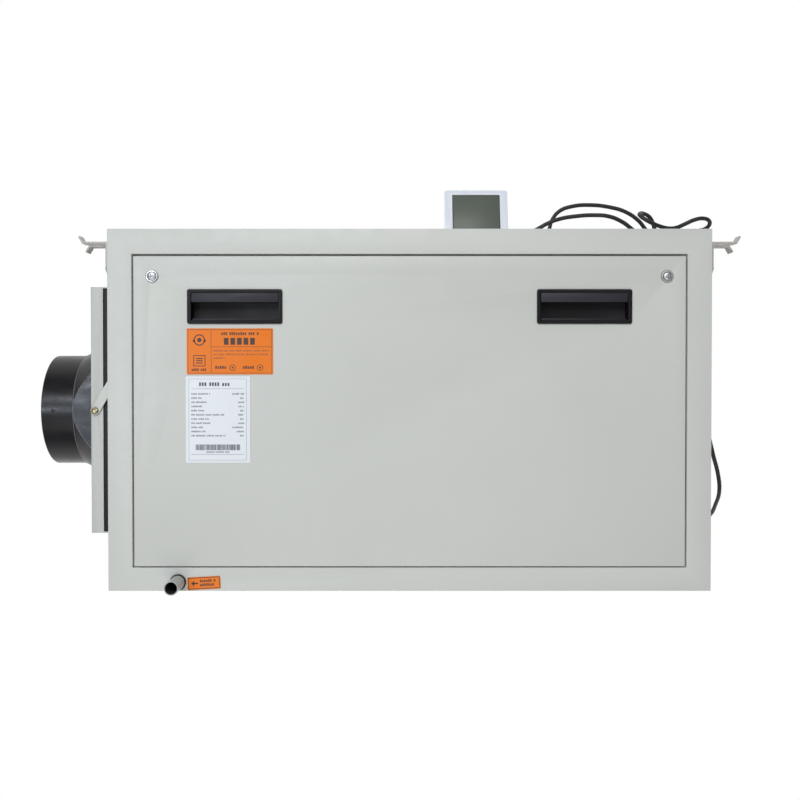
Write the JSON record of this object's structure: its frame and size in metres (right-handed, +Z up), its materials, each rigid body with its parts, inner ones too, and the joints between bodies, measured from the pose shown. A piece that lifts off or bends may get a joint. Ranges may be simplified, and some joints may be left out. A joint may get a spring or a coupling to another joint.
{
  "type": "dehumidifier",
  "caption": "Ceiling-hung ducted dehumidifier cabinet with round inlet collar, filter box, pull-off access panel, slotted hangers, drain pipe and wired wall controller.",
  "frame": {"origin": "centre of the cabinet's underside", "axes": "+X to the outlet side, +Y to the rear, +Z up; the front with the access panel faces -Y"},
  "size_m": [0.8708, 0.456, 0.5066],
  "materials": {
    "paint": "satin warm grey powder coat",
    "galvanised": "zinc coated sheet",
    "black_abs": "semi gloss black moulding",
    "black_matte": "fine texture",
    "chrome": "bright plated",
    "zinc_yellow": "yellow passivated zinc",
    "foam": "closed cell foam",
    "rubber": "matte",
    "filter": "pleated synthetic media",
    "label_orange": "satin printed film",
    "label_white": "satin printed film",
    "pipe_plastic": "extruded",
    "fins": "fin stock",
    "copper": "drawn copper tube",
    "black_steel": "black enamel",
    "board": "printed circuit board",
    "control_white": "satin moulding",
    "lcd": "unlit liquid crystal pane",
    "cable_sheath": "black PVC sheath"
  },
  "bodies": {
    "cabinet": {"front_frame": "paint", "top_panel": "paint", "rear_panel": "paint", "left_panel": "paint", "right_panel": "paint", "filter_frame": "paint", "outlet_flange": "paint", "hanger_front_left": "paint", "hanger_front_right": "paint", "hanger_rear_left": "paint", "hanger_rear_right": "paint", "base_tray": "galvanised", "drain_pan": "galvanised", "blower_housing": "galvanised", "motor_bracket": "galvanised", "electrical_box": "galvanised", "electrical_box_cover": "galvanised", "duct_collar": "black_abs", "outlet_guard": "black_matte", "drain_grommet": "black_matte", "control_cable_gland": "black_matte", "mains_gland": "black_matte", "filter_surround": "black_matte", "latch_screw": "zinc_yellow", "compressor_mount_1": "rubber", "compressor_mount_2": "rubber", "compressor_mount_3": "rubber", "filter_media": "filter", "drain_label": "label_orange", "drain_pipe": "pipe_plastic", "evaporator_coil": "fins", "condenser_coil": "fins", "suction_pipe": "copper", "discharge_pipe": "copper", "filter_drier": "copper", "compressor": "black_steel", "accumulator": "black_steel", "blower_motor": "black_steel", "control_board": "board", "controller_rear_housing": "control_white", "controller_bezel": "control_white", "controller_display": "lcd", "control_cable_run": "cable_sheath", "control_cable_coil": "cable_sheath", "control_cable_tail": "cable_sheath"},
    "access_panel": {"access_panel": "paint", "panel_gasket": "rubber", "panel_insulation": "foam", "pull_handle_left": "black_abs", "pull_handle_right": "black_abs", "panel_screw_left": "chrome", "panel_screw_right": "chrome", "refrigerant_label": "label_orange", "data_label": "label_white"},
    "latch": {"latch_strap": "paint"},
    "blower_wheel": {"blower_wheel": "black_matte"},
    "key_1": {"controller_key_1": "control_white"},
    "key_2": {"controller_key_2": "control_white"},
    "key_3": {"controller_key_3": "control_white"},
    "key_4": {"controller_key_4": "control_white"}
  },
  "joints": [
    {"name": "access_panel_pull", "type": "slide", "parent": "cabinet", "child": "access_panel", "axis": [0, -1, 0], "range_m": [0, 0.15]},
    {"name": "filter_latch_turn", "type": "hinge", "parent": "cabinet", "child": "latch", "pos_m": [-0.3716, -0.18725, 0.209], "axis": [0, -1, 0], "range_deg": [0, 150]},
    {"name": "blower_spin", "type": "hinge", "parent": "cabinet", "child": "blower_wheel", "pos_m": [0.12, 0.05, 0.2], "axis": [0, 1, 0], "continuous": true},
    {"name": "key_1_press", "type": "slide", "parent": "cabinet", "child": "key_1", "axis": [0, 0.9613, -0.2756], "range_m": [0, 0.0008], "stiffness_N_per_m": 400},
    {"name": "key_2_press", "type": "slide", "parent": "cabinet", "child": "key_2", "axis": [0, 0.9613, -0.2756], "range_m": [0, 0.0008], "stiffness_N_per_m": 400},
    {"name": "key_3_press", "type": "slide", "parent": "cabinet", "child": "key_3", "axis": [0, 0.9613, -0.2756], "range_m": [0, 0.0008], "stiffness_N_per_m": 400},
    {"name": "key_4_press", "type": "slide", "parent": "cabinet", "child": "key_4", "axis": [0, 0.9613, -0.2756], "range_m": [0, 0.0008], "stiffness_N_per_m": 400}
  ]
}
